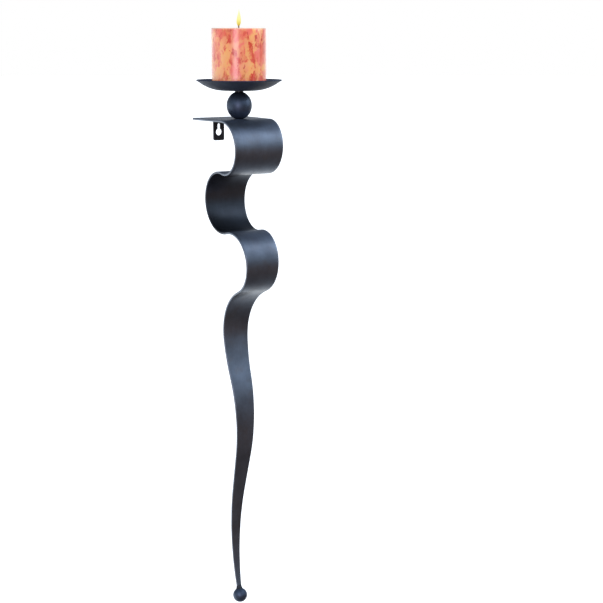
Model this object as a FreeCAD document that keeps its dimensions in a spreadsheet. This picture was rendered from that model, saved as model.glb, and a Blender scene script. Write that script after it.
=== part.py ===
import FreeCAD, Part
import math
import os
import Sketcher

# Wall sconce candle holder.
# Frame: +Z up, +Y into the wall, X along the wall.  The wall is the plane Y = 0 and the origin
# is the middle of the keyhole's round hole, where the wall screw's head goes in.
# Units: millimetres and degrees.

DIMENSIONS = (
    # flat bar
    ("bar_thickness", 3.0),
    ("wall_end_width", 88.5),
    ("tail_end_width", 7.0),
    ("wall_corner_radius", 6.0),
    # bends of the bar, from the wall end to the tail
    ("shelf_length", 78.0),
    ("top_curl_radius", 37.0),
    ("top_curl_angle", 192.0),
    ("wall_curl_radius", 43.0),
    ("wall_curl_angle", 204.5),
    ("front_curl_radius", 42.5),
    ("front_curl_angle", 168.0),
    ("waist_length", 11.5),
    ("waist_bend_radius", 71.0),
    ("waist_bend_angle", 72.0),
    ("hip_bend_radius", 213.0),
    ("hip_bend_angle", 14.5),
    ("knee_bend_radius", 194.0),
    ("knee_bend_angle", 35.5),
    ("calf_length", 56.0),
    ("tail_bend_radius", 314.0),
    ("tail_bend_angle", 28.5),
    # tail ball and its weld
    ("tail_ball_radius", 10.5),
    ("tail_seat_radius", 3.9),
    ("tail_weld_height", 6.0),
    ("tail_weld_sink", 2.0),
    ("tail_weld_top_radius", 4.0),
    ("tail_weld_foot_radius", 5.6),
    # hanger tab
    ("tab_width", 17.0),
    ("tab_height", 30.5),
    ("tab_thickness", 3.0),
    ("tab_corner_radius", 2.5),
    ("keyhole_radius", 5.0),
    ("keyhole_above_foot", 12.0),
    ("keyhole_slot_width", 4.6),
    ("keyhole_slot_reach", 10.0),
    ("tab_weld_radius", 2.0),
    ("tab_weld_length", 15.0),
    # candle stack
    ("stack_reach", 61.0),
    ("stud_hole_radius", 3.3),
    ("spacer_ball_radius", 17.8),
    ("spacer_ball_half_height", 19.6),
    ("spacer_ball_height", 37.2),
    ("dish_washer_radius", 6.0),
    ("dish_washer_thickness", 2.0),
    # drip dish
    ("dish_floor_radius", 21.1),
    ("dish_bowl_radius", 58.0),
    ("dish_bowl_angle", 36.0),
    ("dish_lip_radius", 28.0),
    ("dish_lip_angle", 12.0),
    ("dish_sheet", 1.5),
    ("dish_edge_radius", 0.7),
    # pricket stud, nut and lock washer
    ("stud_radius", 3.0),
    ("stud_end_length", 3.0),
    ("stud_flange_radius", 8.0),
    ("stud_flange_thickness", 2.0),
    ("spike_base_radius", 3.2),
    ("spike_tip_radius", 0.4),
    ("spike_height", 26.0),
    ("nut_across_corners", 11.5),
    ("nut_dome_radius", 6.1),
    ("nut_height", 5.0),
    ("lock_washer_radius", 5.6),
    ("lock_washer_thickness", 1.6),
    ("lock_washer_gap", 1.2),
    # candle
    ("candle_radius", 38.1),
    ("candle_height", 82.0),
    ("candle_lift", 4.0),
    ("candle_edge_radius", 2.0),
    ("melt_pool_radius", 21.0),
    ("melt_pool_depth", 2.0),
    ("spike_hole_clearance", 0.3),
    ("spike_hole_spare", 1.0),
    ("wick_radius", 1.1),
    ("wick_depth", 30.0),
    ("wick_length", 39.0),
)

# name of each run of the bar and the way it turns, seen along +X: +1 left, -1 right, 0 straight
BAR_RUNS = (
    ("shelf", 0),
    ("top_curl", 1),
    ("wall_curl", -1),
    ("front_curl", 1),
    ("waist", 0),
    ("waist_bend", -1),
    ("hip_bend", -1),
    ("knee_bend", 1),
    ("calf", 0),
    ("tail_bend", -1),
)
OUTWARD = 180.0          # heading of the shelf, away from the wall, seen along +X
DEGREES_PER_STEP = 8.0   # spacing of the points that a curled edge passes through

doc = FreeCAD.newDocument("WallSconce")
sheet = doc.addObject("Spreadsheet::Sheet", "Sizes")
for row, (alias, value) in enumerate(DIMENSIONS, start=1):
    sheet.set("A%d" % row, alias)
    sheet.set("B%d" % row, str(value))
    sheet.setAlias("B%d" % row, alias)
doc.recompute()


def size(alias):
    return float(sheet.get(alias))


def vector(x, y, z=0.0):
    return FreeCAD.Vector(x, y, z)


def polar(radius, degrees):
    """Offset in a sketch plane at an angle from its first axis."""
    return vector(radius * math.cos(math.radians(degrees)), radius * math.sin(math.radians(degrees)))


# Heights of the stack, from the keyhole up.
SHELF_UNDERSIDE = size("tab_height") - size("keyhole_above_foot")
SHELF_TOP = SHELF_UNDERSIDE + size("bar_thickness")
WASHER_FOOT = SHELF_TOP + size("spacer_ball_height")
DISH_FOOT = WASHER_FOOT + size("dish_washer_thickness")
FLANGE_FOOT = DISH_FOOT + size("dish_sheet")
SPIKE_FOOT = FLANGE_FOOT + size("stud_flange_thickness")
SPIKE_TIP = SPIKE_FOOT + size("spike_height")
NUT_TOP = SHELF_UNDERSIDE - size("lock_washer_thickness")
NUT_FOOT = NUT_TOP - size("nut_height")
STUD_FOOT = NUT_FOOT - size("stud_end_length")
CANDLE_FOOT = DISH_FOOT + size("candle_lift")
CANDLE_TOP = CANDLE_FOOT + size("candle_height")
STACK_Y = -size("stack_reach")


# ---------------------------------------------------------------- small helpers

def new_body(label):
    body = doc.addObject("PartDesign::Body", label)
    body.Label = label
    return body


def new_sketch(body, plane_role, name, offset=None):
    """Sketch on one of the body's own origin planes."""
    plane = [item for item in body.Origin.OriginFeatures if item.Role == plane_role][0]
    sketch = body.newObject("Sketcher::SketchObject", name)
    sketch.AttachmentSupport = (plane, [""])
    sketch.MapMode = "FlatFace"
    if offset is not None:
        sketch.AttachmentOffset = FreeCAD.Placement(offset, FreeCAD.Rotation())
    return sketch


def add_line(sketch, start, end):
    return sketch.addGeometry(Part.LineSegment(start, end), False)


def add_arc(sketch, centre, radius, first, last):
    """Arc drawn anticlockwise from angle first to angle last."""
    circle = Part.Circle(centre, vector(0, 0, 1), radius)
    return sketch.addGeometry(Part.ArcOfCircle(circle, math.radians(first), math.radians(last)), False)


def constrain(sketch, kind, *terms):
    return sketch.addConstraint(Sketcher.Constraint(kind, *terms))


def drive(sketch, index, name, formula):
    """Name a sketch dimension and bind it to the sheet."""
    sketch.renameConstraint(index, name)
    sketch.setExpression("Constraints." + name, formula)


def add_closed_outline(sketch, points):
    """Closed run of straight lines, joined end to end."""
    lines = []
    for start, end in zip(points, points[1:] + points[:1]):
        lines.append(add_line(sketch, start, end))
    for line, following in zip(lines, lines[1:] + lines[:1]):
        constrain(sketch, "Coincident", line, 2, following, 1)
    return lines


def square_up(sketch, lines):
    """Make each line of an outline level or upright, as it was drawn."""
    for line in lines:
        shape = sketch.Geometry[line]
        level = abs(shape.EndPoint.x - shape.StartPoint.x) > abs(shape.EndPoint.y - shape.StartPoint.y)
        constrain(sketch, "Horizontal" if level else "Vertical", line)


def revolve(body, sketch, name):
    """Turn a half section round its sketch's upright axis."""
    feature = body.newObject("PartDesign::Revolution", name)
    feature.Profile = sketch
    feature.ReferenceAxis = (sketch, ["V_Axis"])
    feature.Angle = 360.0
    return feature


def primitive(kind, label, **formulas):
    """Part primitive whose sizes are bound to the sheet."""
    item = doc.addObject(kind, label)
    item.Label = label
    for name, formula in formulas.items():
        item.setExpression(name, formula)
    return item


def place(item, x, y, z, rotation=None):
    item.Placement = FreeCAD.Placement(vector(x, y, z), rotation or FreeCAD.Rotation())
    return item


def cut(label, base, tool):
    item = doc.addObject("Part::Cut", label)
    item.Base = base
    item.Tool = tool
    item.Label = label
    return item


def common(label, first, second):
    item = doc.addObject("Part::MultiCommon", label)
    item.Shapes = [first, second]
    item.Label = label
    return item


def ring(label, outer, inner, height, z):
    """Flat ring on the stack's axis."""
    disc = primitive("Part::Cylinder", label + "_disc", Radius=outer, Height=height)
    hole = primitive("Part::Cylinder", label + "_hole", Radius=inner, Height=height)
    for item in (disc, hole):
        place(item, 0, STACK_Y, z)
    return cut(label, disc, hole)


# ---------------------------------------------------------------- flat bar

def draw_bar_path():
    """Centre line of the bar in the plane X = 0, as lines and tangent arcs."""
    path = doc.addObject("Sketcher::SketchObject", "bar_path")
    path.Placement = FreeCAD.Placement(vector(0, 0, 0), FreeCAD.Rotation(vector(1, 1, 1), 120))
    point = vector(0, SHELF_TOP - size("bar_thickness") / 2)
    heading = OUTWARD
    previous = None
    for name, turn in BAR_RUNS:
        if turn == 0:
            length = size(name + "_length")
            step = polar(length, heading)
            run = add_line(path, point, point + step)
            start, end = 1, 2
            point = point + step
        else:
            radius, angle = size(name + "_radius"), size(name + "_angle")
            centre = point + polar(radius, heading + 90 * turn)
            first = heading - 90 * turn
            last = first + angle * turn
            run = add_arc(path, centre, radius, min(first, last), max(first, last))
            start, end = (1, 2) if turn > 0 else (2, 1)
            point = centre + polar(radius, last)
            heading += angle * turn
        if previous is None:
            constrain(path, "PointOnObject", run, start, -2)
            height = constrain(path, "DistanceY", -1, 1, run, start, SHELF_TOP)
            drive(path, height, "shelf_height",
                  "Sizes.tab_height - Sizes.keyhole_above_foot + Sizes.bar_thickness / 2")
            constrain(path, "Horizontal", run)
        else:
            constrain(path, "Tangent", previous[0], previous[1], run, start)
        if turn == 0:
            drive(path, constrain(path, "Distance", run, length), name, "Sizes.%s_length" % name)
        else:
            drive(path, constrain(path, "Radius", run, radius), name + "_r", "Sizes.%s_radius" % name)
            sweep = constrain(path, "Angle", run, math.radians(angle))
            drive(path, sweep, name + "_a", "Sizes.%s_angle * 1 deg" % name)
        previous = (run, end)
    doc.recompute()
    return path


class BarRun:
    """One straight or curved run of the bar's centre line, followed from the wall to the tail."""

    def __init__(self, edge, start, distance):
        self.edge = edge
        self.distance = distance
        self.backwards = edge.valueAt(edge.FirstParameter).distanceToPoint(start) > 0.01

    def frame(self, share):
        """Point, heading and surface normal at a share of the run's length."""
        if self.backwards:
            share = 1 - share
        parameter = self.edge.FirstParameter + share * (self.edge.LastParameter - self.edge.FirstParameter)
        heading = self.edge.tangentAt(parameter)
        if self.backwards:
            heading = heading * -1
        return self.edge.valueAt(parameter), heading, vector(1, 0, 0).cross(heading)

    def end(self):
        return self.frame(1.0)[0]

    def steps(self):
        if self.edge.Curve.TypeId == "Part::GeomLine":
            return 1
        turned = math.degrees(self.edge.Length / self.edge.Curve.Radius)
        return max(4, math.ceil(turned / DEGREES_PER_STEP))


def bar_runs(path):
    """Runs of the path in order, each with its distance from the wall end."""
    runs = []
    start = vector(0, 0, SHELF_TOP - size("bar_thickness") / 2)
    distance = 0.0
    for geometry in path.Geometry:
        edge = geometry.toShape()
        edge.Placement = path.Placement
        run = BarRun(edge, start, distance)
        runs.append(run)
        start = run.end()
        distance += edge.Length
    return runs, distance


def bar_edge(run, side, face, length):
    """Long edge of the bar over one run: side is -1 or +1 along X, face is -1 or +1 through it."""
    points = []
    for index in range(run.steps() + 1):
        share = index / run.steps()
        point, _, normal = run.frame(share)
        travelled = (run.distance + share * run.edge.Length) / length
        half_width = (size("wall_end_width") * (1 - travelled) + size("tail_end_width") * travelled) / 2
        points.append(point + vector(side * half_width, 0, 0) + normal * (face * size("bar_thickness") / 2))
    if len(points) == 2:
        return Part.LineSegment(points[0], points[1]).toShape()
    curve = Part.BSplineCurve()
    curve.interpolate(Points=points)
    return curve.toShape()


def bar_solid(runs, length):
    """Closed bar: four ruled faces on each run and a flat face at both ends.

    The bar tapers evenly along its developed length, so the long edge of a curl is a helix.
    """
    corners = ((-1, -1), (1, -1), (1, 1), (-1, 1))
    faces = []
    for run in runs:
        edges = [bar_edge(run, side, face, length) for side, face in corners]
        for edge, following in zip(edges, edges[1:] + edges[:1]):
            faces.append(Part.makeRuledSurface(edge, following))
    for run, tip in ((runs[0], 0), (runs[-1], -1)):
        rim = [bar_edge(run, side, face, length).Vertexes[tip].Point for side, face in corners]
        faces.append(Part.Face(Part.makePolygon(rim + rim[:1])))
    shell = Part.makeShell(faces)
    shell.sewShape()
    solid = Part.makeSolid(shell)
    if solid.Volume < 0:
        solid = Part.makeSolid(shell.reversed())
    return solid


def is_wall_corner(edge):
    """Short upright edge of the bar, at the wall."""
    at_wall = all(abs(vertex.Y) < 0.01 for vertex in edge.Vertexes)
    return at_wall and edge.Length < 1.5 * size("bar_thickness")


def make_ribbon_strip(path):
    runs, length = bar_runs(path)
    solid = bar_solid(runs, length)
    corners = [edge for edge in solid.Edges if is_wall_corner(edge)]
    solid = solid.makeFillet(size("wall_corner_radius"), corners)
    hole = Part.makeCylinder(size("stud_hole_radius"), 3 * size("bar_thickness"),
                             vector(0, STACK_Y, SHELF_UNDERSIDE - size("bar_thickness")))
    strip = doc.addObject("Part::Feature", "ribbon_strip")
    strip.Label = "ribbon_strip"
    strip.Shape = solid.cut(hole)
    return strip, runs[-1].frame(1.0)


# ---------------------------------------------------------------- tail ball

def tail_placement(tail_end, beyond):
    """Placement on the tail's axis, beyond its end, with +Z pointing back up the bar."""
    point, heading, _ = tail_end
    rotation = FreeCAD.Rotation(vector(0, 0, 1), heading * -1)
    return FreeCAD.Placement(point + heading * beyond, rotation)


def tail_seat_distance():
    """Distance from the ball's middle to the flat that the bar stands on."""
    return math.sqrt(size("tail_ball_radius") ** 2 - size("tail_seat_radius") ** 2)


def make_tail_ball(tail_end):
    body = new_body("tail_ball")
    sketch = new_sketch(body, "XZ_Plane", "tail_ball_outline")
    radius, seat = size("tail_ball_radius"), size("tail_seat_radius")
    brim = math.degrees(math.acos(seat / radius))
    arc = add_arc(sketch, vector(0, 0), radius, -90, brim)
    top = add_line(sketch, polar(radius, brim), vector(0, tail_seat_distance()))
    axis = add_line(sketch, vector(0, tail_seat_distance()), vector(0, -radius))
    constrain(sketch, "Coincident", arc, 3, -1, 1)
    constrain(sketch, "Coincident", arc, 2, top, 1)
    constrain(sketch, "Coincident", top, 2, axis, 1)
    constrain(sketch, "Coincident", axis, 2, arc, 1)
    constrain(sketch, "Horizontal", top)
    constrain(sketch, "Vertical", axis)
    constrain(sketch, "PointOnObject", axis, 1, -2)
    drive(sketch, constrain(sketch, "Radius", arc, radius), "ball", "Sizes.tail_ball_radius")
    drive(sketch, constrain(sketch, "Distance", top, seat), "seat", "Sizes.tail_seat_radius")
    revolve(body, sketch, "tail_ball_turned")
    body.Placement = tail_placement(tail_end, tail_seat_distance())
    return body


def make_tail_weld(tail_end, strip, ball):
    """Flared weld around the bar's end, standing on the ball."""
    cone = primitive("Part::Cone", "tail_weld_blank", Radius1="Sizes.tail_weld_foot_radius",
                     Radius2="Sizes.tail_weld_top_radius", Height="Sizes.tail_weld_height")
    cone.Placement = tail_placement(tail_end, size("tail_weld_sink"))
    return cut("tail_weld", cut("tail_weld_on_ball", cone, ball), strip)


# ---------------------------------------------------------------- hanger tab

def make_hanger_tab():
    body = new_body("hanger_tab")
    sketch = new_sketch(body, "XZ_Plane", "tab_outline")
    half, foot = size("tab_width") / 2, -size("keyhole_above_foot")
    corners = [vector(-half, foot), vector(half, foot), vector(half, SHELF_UNDERSIDE),
               vector(-half, SHELF_UNDERSIDE)]
    lines = add_closed_outline(sketch, corners)
    square_up(sketch, lines[1:])
    constrain(sketch, "Symmetric", lines[0], 1, lines[0], 2, -2)
    drive(sketch, constrain(sketch, "Distance", lines[0], 2 * half), "width", "Sizes.tab_width")
    drive(sketch, constrain(sketch, "Distance", lines[1], 1.0), "height", "Sizes.tab_height")
    drive(sketch, constrain(sketch, "DistanceY", lines[0], 1, -1, 1, -foot), "below_keyhole",
          "Sizes.keyhole_above_foot")
    plate = body.newObject("PartDesign::Pad", "tab_plate")
    plate.Profile = sketch
    plate.setExpression("Length", "Sizes.tab_thickness")
    doc.recompute()
    upright = ["Edge%d" % (index + 1) for index, edge in enumerate(plate.Shape.Edges)
               if all(abs(vertex.Z - foot) < 0.01 for vertex in edge.Vertexes)
               and abs(edge.Vertexes[0].X - edge.Vertexes[1].X) < 0.01]
    rounding = body.newObject("PartDesign::Fillet", "tab_corners")
    rounding.Base = (plate, upright)
    rounding.setExpression("Radius", "Sizes.tab_corner_radius")
    body.Tip = rounding
    doc.recompute()
    keyhole = new_sketch(body, "XZ_Plane", "keyhole_outline")
    draw_keyhole(keyhole)
    opening = body.newObject("PartDesign::Pocket", "keyhole")
    opening.Profile = keyhole
    opening.Type = "ThroughAll"
    opening.Midplane = True
    return body


def draw_keyhole(sketch):
    """Round hole with a narrower slot running up from it, as one outline."""
    radius, half = size("keyhole_radius"), size("keyhole_slot_width") / 2
    reach = size("keyhole_slot_reach")
    neck = math.sqrt(radius ** 2 - half ** 2)
    shoulder = math.degrees(math.asin(neck / radius))
    hole = add_arc(sketch, vector(0, 0), radius, 180 - shoulder, 360 + shoulder)
    right = add_line(sketch, vector(half, neck), vector(half, reach))
    crown = add_arc(sketch, vector(0, reach), half, 0, 180)
    left = add_line(sketch, vector(-half, reach), vector(-half, neck))
    constrain(sketch, "Coincident", hole, 3, -1, 1)
    constrain(sketch, "Coincident", hole, 2, right, 1)
    constrain(sketch, "Tangent", right, 2, crown, 1)
    constrain(sketch, "Tangent", crown, 2, left, 1)
    constrain(sketch, "Coincident", left, 2, hole, 1)
    constrain(sketch, "Vertical", right)
    constrain(sketch, "Vertical", left)
    constrain(sketch, "PointOnObject", crown, 3, -2)
    drive(sketch, constrain(sketch, "Radius", hole, radius), "hole", "Sizes.keyhole_radius")
    drive(sketch, constrain(sketch, "Radius", crown, half), "slot", "Sizes.keyhole_slot_width / 2")
    drive(sketch, constrain(sketch, "DistanceY", -1, 1, crown, 3, reach), "reach",
          "Sizes.keyhole_slot_reach")


def make_tab_weld():
    """Bead in the corner between the tab's front face and the shelf's underside."""
    bead = primitive("Part::Cylinder", "tab_weld", Radius="Sizes.tab_weld_radius",
                     Height="Sizes.tab_weld_length")
    bead.Angle = 90
    rotation = FreeCAD.Rotation(vector(0, -1, 0), vector(0, 0, -1), vector(1, 0, 0), "ZXY")
    return place(bead, -size("tab_weld_length") / 2, -size("tab_thickness"), SHELF_UNDERSIDE, rotation)


# ---------------------------------------------------------------- candle stack

def make_spacer_ball():
    egg = primitive("Part::Ellipsoid", "spacer_ball_blank", Radius1="Sizes.spacer_ball_half_height",
                    Radius2="Sizes.spacer_ball_radius", Radius3="Sizes.spacer_ball_radius")
    place(egg, 0, STACK_Y, (SHELF_TOP + WASHER_FOOT) / 2)
    slab = primitive("Part::Cylinder", "spacer_ball_slab", Radius="2 * Sizes.spacer_ball_radius",
                     Height="Sizes.spacer_ball_height")
    place(slab, 0, STACK_Y, SHELF_TOP)
    bore = primitive("Part::Cylinder", "spacer_ball_bore", Radius="Sizes.stud_hole_radius",
                     Height="Sizes.spacer_ball_height")
    place(bore, 0, STACK_Y, SHELF_TOP)
    return cut("spacer_ball", common("spacer_ball_flats", egg, slab), bore)


def make_dish_washer():
    return ring("dish_washer", "Sizes.dish_washer_radius", "Sizes.stud_hole_radius",
                "Sizes.dish_washer_thickness", WASHER_FOOT)


def make_drip_dish():
    """Spun sheet: flat floor, bowl arc and an eased lip, with a hole for the stud."""
    body = new_body("drip_dish")
    sketch = new_sketch(body, "XZ_Plane", "dish_section")
    hole, floor, sheet_thick = size("stud_hole_radius"), size("dish_floor_radius"), size("dish_sheet")
    bowl, bowl_angle = size("dish_bowl_radius"), size("dish_bowl_angle")
    lip, lip_angle = size("dish_lip_radius"), size("dish_lip_angle")
    bowl_centre = vector(floor, bowl)
    lip_centre = bowl_centre + polar(bowl + lip, bowl_angle - 90)
    seam = bowl_angle + 90
    brim = seam - lip_angle
    under_floor = add_line(sketch, vector(hole, 0), vector(floor, 0))
    under_bowl = add_arc(sketch, bowl_centre, bowl, -90, bowl_angle - 90)
    under_lip = add_arc(sketch, lip_centre, lip, brim, seam)
    edge = add_line(sketch, lip_centre + polar(lip, brim), lip_centre + polar(lip + sheet_thick, brim))
    upper_lip = add_arc(sketch, lip_centre, lip + sheet_thick, brim, seam)
    upper_bowl = add_arc(sketch, bowl_centre, bowl - sheet_thick, -90, bowl_angle - 90)
    upper_floor = add_line(sketch, vector(floor, sheet_thick), vector(hole, sheet_thick))
    hole_wall = add_line(sketch, vector(hole, sheet_thick), vector(hole, 0))
    constrain(sketch, "Tangent", under_floor, 2, under_bowl, 1)
    constrain(sketch, "Tangent", under_bowl, 2, under_lip, 2)
    constrain(sketch, "Coincident", under_lip, 1, edge, 1)
    constrain(sketch, "Coincident", edge, 2, upper_lip, 1)
    constrain(sketch, "PointOnObject", under_lip, 3, edge)
    constrain(sketch, "Coincident", upper_lip, 3, under_lip, 3)
    constrain(sketch, "Tangent", upper_lip, 2, upper_bowl, 2)
    constrain(sketch, "Coincident", upper_bowl, 3, under_bowl, 3)
    constrain(sketch, "Tangent", upper_bowl, 1, upper_floor, 1)
    constrain(sketch, "Coincident", upper_floor, 2, hole_wall, 1)
    constrain(sketch, "Coincident", hole_wall, 2, under_floor, 1)
    constrain(sketch, "Vertical", hole_wall)
    constrain(sketch, "Horizontal", under_floor)
    constrain(sketch, "Horizontal", upper_floor)
    constrain(sketch, "PointOnObject", under_floor, 1, -1)
    drive(sketch, constrain(sketch, "DistanceX", -1, 1, under_floor, 1, hole), "hole",
          "Sizes.stud_hole_radius")
    drive(sketch, constrain(sketch, "DistanceX", -1, 1, under_floor, 2, floor), "floor",
          "Sizes.dish_floor_radius")
    drive(sketch, constrain(sketch, "Radius", under_bowl, bowl), "bowl", "Sizes.dish_bowl_radius")
    drive(sketch, constrain(sketch, "Angle", under_bowl, math.radians(bowl_angle)), "bowl_sweep",
          "Sizes.dish_bowl_angle * 1 deg")
    drive(sketch, constrain(sketch, "Radius", under_lip, lip), "lip", "Sizes.dish_lip_radius")
    drive(sketch, constrain(sketch, "Angle", under_lip, math.radians(lip_angle)), "lip_sweep",
          "Sizes.dish_lip_angle * 1 deg")
    drive(sketch, constrain(sketch, "Distance", edge, sheet_thick), "sheet", "Sizes.dish_sheet")
    spun = revolve(body, sketch, "dish_spun")
    doc.recompute()
    outermost = max(vertex.X for vertex in spun.Shape.Vertexes)
    rim = ["Edge%d" % (index + 1) for index, item in enumerate(spun.Shape.Edges)
           if item.Curve.TypeId == "Part::GeomCircle" and item.Curve.Radius > outermost - sheet_thick
           and item.Closed]
    rounding = body.newObject("PartDesign::Fillet", "dish_rim")
    rounding.Base = (spun, rim)
    rounding.setExpression("Radius", "Sizes.dish_edge_radius")
    body.Tip = rounding
    return place(body, 0, STACK_Y, DISH_FOOT)


def draw_turned_outline(sketch, corners):
    """Closed half section of a turned piece; each corner is (radius, height above the piece's foot)."""
    points = [vector(radius, height) for radius, height in corners]
    return add_closed_outline(sketch, points)


def make_pricket_stud():
    """Spike, flange and threaded rod turned from one bar."""
    body = new_body("pricket_stud")
    sketch = new_sketch(body, "XZ_Plane", "stud_outline")
    flange_foot, spike_foot = FLANGE_FOOT - STUD_FOOT, SPIKE_FOOT - STUD_FOOT
    tip = SPIKE_TIP - STUD_FOOT
    rod, flange = size("stud_radius"), size("stud_flange_radius")
    spike, point = size("spike_base_radius"), size("spike_tip_radius")
    corners = [(0, 0), (rod, 0), (rod, flange_foot), (flange, flange_foot), (flange, spike_foot),
               (spike, spike_foot), (point, tip), (0, tip)]
    lines = draw_turned_outline(sketch, corners)
    taper = lines[5]
    square_up(sketch, [line for line in lines if line != taper])
    constrain(sketch, "Coincident", lines[0], 1, -1, 1)
    for line, name, formula in (
            (lines[0], "rod_radius", "Sizes.stud_radius"),
            (lines[3], "flange_thickness", "Sizes.stud_flange_thickness"),
            (lines[6], "tip_radius", "Sizes.spike_tip_radius")):
        drive(sketch, constrain(sketch, "Distance", line, 1.0), name, formula)
    for line, name, formula in (
            (lines[2], "flange_radius", "Sizes.stud_flange_radius"),
            (lines[4], "spike_radius", "Sizes.spike_base_radius")):
        drive(sketch, constrain(sketch, "DistanceX", -1, 1, line, 2, 1.0), name, formula)
    drive(sketch, constrain(sketch, "Distance", lines[1], flange_foot), "rod_length",
          "Sizes.stud_end_length + Sizes.nut_height + Sizes.lock_washer_thickness"
          " + Sizes.bar_thickness + Sizes.spacer_ball_height + Sizes.dish_washer_thickness"
          " + Sizes.dish_sheet")
    drive(sketch, constrain(sketch, "DistanceY", taper, 1, taper, 2, tip - spike_foot), "spike_height",
          "Sizes.spike_height")
    revolve(body, sketch, "stud_turned")
    return place(body, 0, STACK_Y, STUD_FOOT)


def make_lock_washer():
    """Split spring washer, drawn flat as it is when clamped."""
    whole = ring("lock_washer_ring", "Sizes.lock_washer_radius", "Sizes.stud_hole_radius",
                 "Sizes.lock_washer_thickness", NUT_TOP)
    gap = primitive("Part::Box", "lock_washer_split", Length="Sizes.lock_washer_radius",
                    Width="Sizes.lock_washer_gap", Height="Sizes.lock_washer_thickness")
    place(gap, 0, STACK_Y - size("lock_washer_gap") / 2, NUT_TOP)
    return cut("lock_washer", whole, gap)


def make_stud_nut():
    prism = primitive("Part::Prism", "nut_blank", Circumradius="Sizes.nut_across_corners / 2",
                      Height="Sizes.nut_height")
    prism.Polygon = 6
    place(prism, 0, STACK_Y, NUT_FOOT)
    dome = primitive("Part::Sphere", "nut_chamfer", Radius="Sizes.nut_dome_radius")
    place(dome, 0, STACK_Y, NUT_FOOT + size("nut_height") / 2)
    bore = primitive("Part::Cylinder", "nut_bore", Radius="Sizes.stud_radius", Height="Sizes.nut_height")
    place(bore, 0, STACK_Y, NUT_FOOT)
    return cut("stud_nut", common("nut_body", prism, dome), bore)


# ---------------------------------------------------------------- candle

def make_candle_wax():
    """Pillar candle with a rounded foot, a shallow melt pool and a hole for the spike."""
    body = new_body("candle_blank")
    sketch = new_sketch(body, "XZ_Plane", "candle_outline")
    radius, height, edge = size("candle_radius"), size("candle_height"), size("candle_edge_radius")
    pool, sunk = size("melt_pool_radius"), size("melt_pool_depth")
    gap = size("spike_hole_clearance")
    hole_foot = size("spike_base_radius") + gap
    hole_top = size("spike_tip_radius") + gap
    hole_height = SPIKE_TIP - CANDLE_FOOT + size("spike_hole_spare")
    corners = [(hole_foot, 0), (radius, 0), (radius, height), (pool, height), (0, height - sunk),
               (0, hole_height), (hole_top, hole_height)]
    lines = draw_turned_outline(sketch, corners)
    slopes = (lines[3], lines[6])
    square_up(sketch, [line for line in lines if line not in slopes])
    constrain(sketch, "PointOnObject", lines[0], 1, -1)
    constrain(sketch, "PointOnObject", lines[4], 1, -2)
    for line, end, kind, name, formula, start in (
            (lines[0], 1, "DistanceX", "hole_foot", "Sizes.spike_base_radius + Sizes.spike_hole_clearance",
             hole_foot),
            (lines[0], 2, "DistanceX", "radius", "Sizes.candle_radius", radius),
            (lines[1], 2, "DistanceY", "height", "Sizes.candle_height", height),
            (lines[3], 1, "DistanceX", "pool", "Sizes.melt_pool_radius", pool),
            (lines[3], 2, "DistanceY", "pool_floor", "Sizes.candle_height - Sizes.melt_pool_depth",
             height - sunk),
            (lines[6], 1, "DistanceX", "hole_top", "Sizes.spike_tip_radius + Sizes.spike_hole_clearance",
             hole_top),
            (lines[6], 1, "DistanceY", "hole_height",
             "Sizes.dish_sheet + Sizes.stud_flange_thickness + Sizes.spike_height"
             " - Sizes.candle_lift + Sizes.spike_hole_spare", hole_height)):
        drive(sketch, constrain(sketch, kind, -1, 1, line, end, start), name, formula)
    poured = revolve(body, sketch, "candle_poured")
    doc.recompute()
    rims = ["Edge%d" % (index + 1) for index, item in enumerate(poured.Shape.Edges)
            if item.Curve.TypeId == "Part::GeomCircle" and item.Closed
            and abs(item.Curve.Radius - radius) < 0.01]
    rounding = body.newObject("PartDesign::Fillet", "candle_edges")
    rounding.Base = (poured, rims)
    rounding.setExpression("Radius", "Sizes.candle_edge_radius")
    body.Tip = rounding
    place(body, 0, STACK_Y, CANDLE_FOOT)
    bore = make_wick_cylinder("wick_hole")
    return cut("candle_wax", body, bore)


def make_wick_cylinder(label):
    item = primitive("Part::Cylinder", label, Radius="Sizes.wick_radius", Height="Sizes.wick_length")
    return place(item, 0, STACK_Y, CANDLE_TOP - size("wick_depth"))


def make_candle_wick():
    return make_wick_cylinder("candle_wick")


# ---------------------------------------------------------------- build and write

def check_document():
    """Stop if any object failed or any shape is missing or broken."""
    doc.recompute()
    for item in doc.Objects:
        if "Invalid" in item.State or "Error" in item.State:
            raise RuntimeError("%s failed: %s" % (item.Label, item.State))


def write_parts(parts):
    """One STEP file for each part, named by the part's label."""
    for item in parts:
        if item.Shape.isNull() or not item.Shape.isValid():
            raise RuntimeError("%s has no valid shape" % item.Label)
    os.makedirs("parts", exist_ok=True)
    for item in parts:
        item.Shape.exportStep("parts/%s.step" % item.Label)
        print("%-14s solids %d  volume %.3f cm3" % (item.Label, len(item.Shape.Solids),
                                                    item.Shape.Volume / 1000))


bar_path = draw_bar_path()
ribbon_strip, bar_tail = make_ribbon_strip(bar_path)
tail_ball = make_tail_ball(bar_tail)
PARTS = (
    ribbon_strip,
    tail_ball,
    make_tail_weld(bar_tail, ribbon_strip, tail_ball),
    make_hanger_tab(),
    make_tab_weld(),
    make_spacer_ball(),
    make_dish_washer(),
    make_drip_dish(),
    make_pricket_stud(),
    make_lock_washer(),
    make_stud_nut(),
    make_candle_wax(),
    make_candle_wick(),
)
check_document()
write_parts(PARTS)
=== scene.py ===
import math

import bmesh
import bpy
from mathutils import Matrix, Vector, noise


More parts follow.
